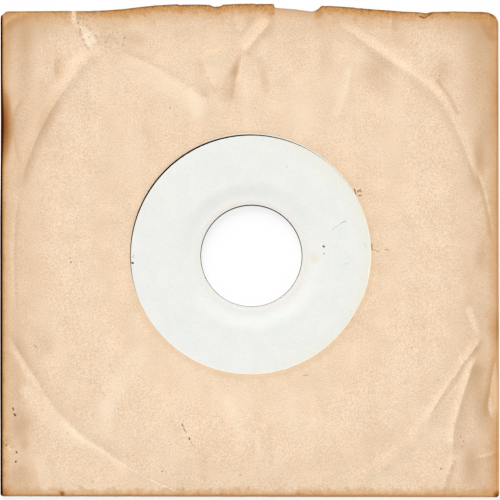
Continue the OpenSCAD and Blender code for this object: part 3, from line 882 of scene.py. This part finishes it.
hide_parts("sleeve_front_panel")


# The bottom fold
# The same sheet of paper, turned under by the folding machine so that one blank makes the front and the back.
# It stays round where the disc has bulged it, and is pinched towards the corners.

PANEL_OUT = 1.38
FOLD_STEPS = 14
BOTTOM_COLUMNS = 260


def folded_strip(edge, top_z, low_z, reach, depth_axis, keep, drop=0, flap=()):
    """A strip of paper turned through half a turn. edge holds the plan position of each column, reach how far the fold
    stands out from it, depth_axis 0 or 1 the direction it stands out in, keep the share of the size left at a column,
    and drop how far a column moves down in y as the strip turns. flap holds the plan points of the rows that follow
    the turn. Gives points, faces and outer face count."""
    n = len(edge)
    layers = []
    for behind in (0, PAPER_T):
        for a in np.linspace(0, math.pi, FOLD_STEPS + 1):
            row = np.array(edge, float)
            row[:, depth_axis] += np.sign(reach) * (abs(reach) - behind) * math.sin(a) * keep
            row[:, 1] -= drop * math.sin(a)
            z = (top_z + low_z) / 2 + ((top_z - low_z) / 2 - behind) * math.cos(a) * np.ones(n)
            layers.append(np.column_stack([row, z]))
        layers += [np.column_stack([row, np.full(n, np.max(low_z) + behind)]) for row in flap]
    rows = len(layers) // 2
    faces = sheet_faces(rows, n, n - 1)
    for column in (0, n - 1):
        faces += [(a * n + column, (a + 1) * n + column, (rows + a + 1) * n + column, (rows + a) * n + column)
                  for a in range(rows - 1)]
    return np.vstack(layers), faces, (rows - 1) * (n - 1)


fold_paper, shader, position, base, _, tooth = kraft_paper("folded_kraft_paper", specular=0.03)
finish_material(shader, browned_sides(position, base), tooth, 0.03)

bottom_x = np.linspace(LEFT_FOLD_X, RIGHT_FOLD_X, BOTTOM_COLUMNS)
bottom_edge = np.column_stack([bottom_x, np.full(BOTTOM_COLUMNS, BOTTOM_FOLD_Y)])
bottom_top = front_height(bottom_x, bottom_edge[:, 1])
squared = np.interp(bottom_x, (LEFT_FOLD_X, RIGHT_FOLD_X), (0.76, 1))
frayed = (squared - 0.06 * np.abs(ripple(bottom_x, 0 * bottom_x, 2.3, 9.1))
          - 0.05 * np.abs(ripple(bottom_x, 0 * bottom_x, 0.9, 4.4)))
bottom_strip = folded_strip(bottom_edge, bottom_top, -PANEL_OUT, SLEEVE_LOW - BOTTOM_FOLD_Y, 1, frayed)
bottom_fold = paper_piece("bottom_fold", bottom_strip, fold_paper)
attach(bottom_fold, "sleeve")
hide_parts("sleeve_bottom_fold")


# The side folds and their flaps
# On each side the front paper turns under into a narrow flap with slanted ends, which lies inside on the back
# panel and is glued to it. The folds have darkened most, because they are what hands and shelves touch; along the
# top of the left fold a painted shadow line darkens it further.

FLAP_LOW, FLAP_W, FLAP_SLANT = -1.21, 14, 9
BACK_LIP_Y = 90.35
SIDE_COLUMNS, CORNER_COLUMNS, FLAP_ROWS = 300, 14, 8
LEAST_REACH, LEAST_HEIGHT = 0.12, 0.3


def side_flap(name, node, fold_x, outermost_x, low_y, top_y, corner_drop, reach):
    """One side's fold and flap. The fold closes to a rounded corner below, and its top corner is cut back by
    corner_drop. Reach holds heights, and the share of its whole reach that the fold keeps at each."""
    inward = 1 if fold_x < 0 else -1
    y = np.concatenate([np.linspace(low_y, BOTTOM_FOLD_Y, CORNER_COLUMNS),
                        np.linspace(BOTTOM_FOLD_Y, top_y, SIDE_COLUMNS - CORNER_COLUMNS + 1)[1:]])
    below = np.clip((BOTTOM_FOLD_Y - y) / (BOTTOM_FOLD_Y - low_y), 0, 1)
    rounded = np.sqrt(1 - below ** 2)
    keep = np.maximum(rounded, LEAST_REACH) * (1 - 0.1 * smooth_step(y, top_y - 2.2, top_y) ** 2)
    keep = keep * (1 - 0.03 * np.abs(ripple(y, 0 * y, 3.1, 2.2))) * np.interp(y, *zip(*reach))
    edge = np.column_stack([np.full(len(y), fold_x), y])
    top = front_height(edge[:, 0], np.maximum(y, BOTTOM_FOLD_Y))
    middle, half = (top + FLAP_LOW) / 2, (top - FLAP_LOW) / 2 * np.maximum(rounded, LEAST_HEIGHT)
    share_along = np.clip((y - BOTTOM_FOLD_Y) / (top_y - BOTTOM_FOLD_Y), 0, 1)
    flap_rows = []
    for step in np.linspace(0, 1, FLAP_ROWS + 1)[1:]:
        across = fold_x + inward * step * (FLAP_W - abs(outermost_x - fold_x))
        low, high = BOTTOM_FOLD_Y + FLAP_SLANT * step, BACK_LIP_Y - FLAP_SLANT * step
        flap_rows.append(np.column_stack([np.full(len(y), across),
                                          low + share_along * (high - low) - below * 0.4 * (1 - step)]))
    drop = corner_drop * smooth_step(y, top_y - 3 * corner_drop, top_y)
    strip = folded_strip(edge, middle + half, middle - half, outermost_x - fold_x, 0, keep, drop, flap_rows)
    piece = paper_piece(name, strip, fold_paper)
    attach(piece, "sleeve")
    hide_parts(node)


side_flap("left_fold_and_flap", "sleeve_left_flap", LEFT_FOLD_X, SLEEVE_LEFT - 0.3, -89.6, lip_line[0][1], 0.9,
          [(-66, 0.96), (-50, 1), (14, 1), (30, 0.9), (50, 0.84), (70, 0.9)])
side_flap("right_fold_and_flap", "sleeve_right_flap", RIGHT_FOLD_X, SLEEVE_RIGHT, SLEEVE_LOW, lip_line[-1][1], 1.5,
          [(SLEEVE_LOW, 1), (lip_line[-1][1], 0.78)])


# The back panel
# The other half of the blank, folded up behind the disc over the two glued flaps. It lies flat on the table,
# stops short of the side folds, and has the same window, so that the second label shows.

BACK_LEFT, BACK_RIGHT = -90.85, 89.85
BACK_SIDE_STEPS, BACK_LIP_STEPS = 130, 160
back_creases = [
    ([(-60, -66), (-30, -82), (10, -86), (45, -76)], 0.14, 5, 5), ([(-20, 62), (18, 74), (40, 66)], 0.12, 4, 4),
    ([(50, 40), (66, 10), (62, -30)], 0.1, 5, 5), ([(-70, 30), (-60, 58), (-38, 76)], 0.12, 4, 5)]
back_specks = [
    (-52, 60, -51, 60.4, 0.8, 0.7), (30, -66, 31, -66.2, 0.9, 0.8), (66, 22, 66.2, 22, 0.8, 0.7),
    (-20, -75, -18, -74, 0.5, 0.6)]


def back_height(x, y):
    """Outer face of the back paper, which lies on the table and lifts a little between the glued flaps."""
    inside = smooth_fall(np.abs(x - WINDOW_X), 66, 77) * smooth_step(y, BOTTOM_FOLD_Y, BOTTOM_FOLD_Y + 8)
    lift = 0.05 + 0.05 * ripple(x, y, 26, 11.3) + 0.025 * ripple(x, y, 8, 2.9)
    for line, height, left, right in back_creases:
        side, share = distance_to_line(x, y, curved(line))
        away = np.clip(np.abs(side) / np.where(side > 0, left, right), 0, 1)
        lift = lift + height * (1 - away) ** 2 * smooth_step(share, 0, 0.15) * smooth_fall(share, 0.85, 1)
    return -PANEL_OUT + np.clip(lift, 0, 0.2) * inside


back_paper, shader, position, base, _, tooth = kraft_paper("back_kraft_paper")
x, y, _ = axes(position)
for distance, fade in ((x - BACK_LEFT, 3.5), (BACK_RIGHT - x, 3.5), (BACK_LIP_Y - y, 3), (y - SLEEVE_LOW, 3.5)):
    base = brown_edge(position, base, distance, 0.5, fade, (168, 112, 58), (208, 156, 100), 0.8, 0.85)
base = browned_window(position, base, window_place(position)[0], 0.45)
base = tint(ease(cloud(position, 26, 3), 0.5, 0.75, 0, 0.4), base, (214, 184, 146))
base = tint(lay_marks(position, back_specks), base, (70, 46, 28))
finish_material(shader, base, tooth, 0.03)

low_left, low_right = (BACK_LEFT, BOTTOM_FOLD_Y), (BACK_RIGHT, BOTTOM_FOLD_Y)
top_left, top_right = (BACK_LEFT, BACK_LIP_Y), (BACK_RIGHT, BACK_LIP_Y)
back_outline = edge_points([([low_left, low_right], BACK_SIDE_STEPS), ([low_right, top_right], BACK_SIDE_STEPS),
                            ([top_right, top_left], BACK_LIP_STEPS), ([top_left, low_left], BACK_SIDE_STEPS)])
back_sheet = windowed_sheet(back_outline, ring_shares(10, 46), 2, back_height, -PAPER_T)
back_panel = paper_piece("back_panel", back_sheet, back_paper, worn=False)
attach(back_panel, "sleeve")
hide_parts("sleeve_back_panel")


# The glue seams
# A thin line of starch glue between each flap and the back panel, spread by a roller and dried to a dull amber.
# The solids of the frame keep their shape and get the finish of dried glue.

glue, shader, position = new_material("dried_glue", 0.5, 0.4)
streaks = cloud(stretched(position, 1.6, 0.25), 1.4, 4, 0.6)
base = tint(ease(streaks, 0.3, 0.7), (188, 148, 92), (222, 186, 130))
base = tint(ease(cloud(position, 1.1, 3), 0.6, 0.7, 0, 0.6), base, (150, 108, 62))
finish_material(shader, base, streaks, 0.02, {"Roughness": ease(streaks, 0.3, 0.7, 0.35, 0.65)})
for node in ("left_glue_seam", "right_glue_seam"):
    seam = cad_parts[node]
    seam.data.materials.clear()
    seam.data.materials.append(glue)


# The studio
# The sleeve lies on a plain white table and is seen from straight above, as on a copy stand. One broad soft light
# comes from beyond the open lip, low enough to show the creases, and the pale room fills the shadows.

PICTURE_W, PICTURE_CENTRE = 186.25, (-0.51, 2.28)
LENS, SENSOR, FRONT_Z = 300, 36, 1.1
NEAREST, FARTHEST = 0.01, 100
LIGHT_ZENITH, LIGHT_TURN, LIGHT_SPREAD = 58, 16, 45
LIGHT_SHARE, ROOM_SHARE = 0.68, 0.32
TABLE_SIZE, TABLE_Z, TABLE_GLOW = 30, -1.4, 0.82

camera = place("camera", bpy.data.cameras.new("camera"))
camera.data.lens, camera.data.sensor_width = LENS, SENSOR
camera.data.clip_start, camera.data.clip_end = NEAREST, FARTHEST
camera.location = (PICTURE_CENTRE[0] * MM, PICTURE_CENTRE[1] * MM, (FRONT_Z + PICTURE_W * LENS / SENSOR) * MM)
bpy.context.scene.camera = camera

lamp = place("soft_light", bpy.data.lights.new("soft_light", "SUN"))
lamp.data.energy = LIGHT_SHARE * math.pi / math.cos(math.radians(LIGHT_ZENITH))
lamp.data.angle = math.radians(LIGHT_SPREAD)
lamp.rotation_euler = (math.radians(-LIGHT_ZENITH), 0, math.radians(LIGHT_TURN))


def seen_directly(tree):
    """1 where the camera sees a surface itself, in gloss or through glass, and 0 where it only lights others."""
    path = put(tree, "LightPath").outputs
    itself, glossy, through = (Value(path["Is " + kind + " Ray"]) for kind in ("Camera", "Glossy", "Transmission"))
    return maths("MAXIMUM", maths("MAXIMUM", itself, glossy), through)


world = bpy.data.worlds.new("pale_room")
world.use_nodes = True
bpy.context.scene.world = world
world.node_tree.nodes.clear()
glow = ease(seen_directly(world.node_tree), 0, 1, ROOM_SHARE, 1)
room = put(world.node_tree, "Background", {"Color": (1, 1, 1, 1), "Strength": glow})
put(world.node_tree, "OutputWorld", {"Surface": Value(room.outputs[0])})

table_mesh = bpy.data.meshes.new("table_top")
half, table_top_z = TABLE_SIZE / 2, TABLE_Z * MM
table_mesh.from_pydata([(-half, -half, table_top_z), (half, -half, table_top_z), (half, half, table_top_z),
                        (-half, half, table_top_z)], [], [(0, 1, 2, 3)])
white, shader, position = new_material("white_table", 0.9, 0)
seen = seen_directly(position.tree)
base = tint(seen, (225, 225, 225), (1 - TABLE_GLOW, 1 - TABLE_GLOW, 1 - TABLE_GLOW, 1))
glow = tint(seen, (0, 0, 0, 1), (TABLE_GLOW, TABLE_GLOW, TABLE_GLOW, 1))
finish_material(shader, base, cloud(position, 2), 0.002, {"Emission Color": glow, "Emission Strength": 1})
table_mesh.materials.append(white)
table = place("table_top", table_mesh)

bpy.context.scene.view_settings.view_transform = "Standard"
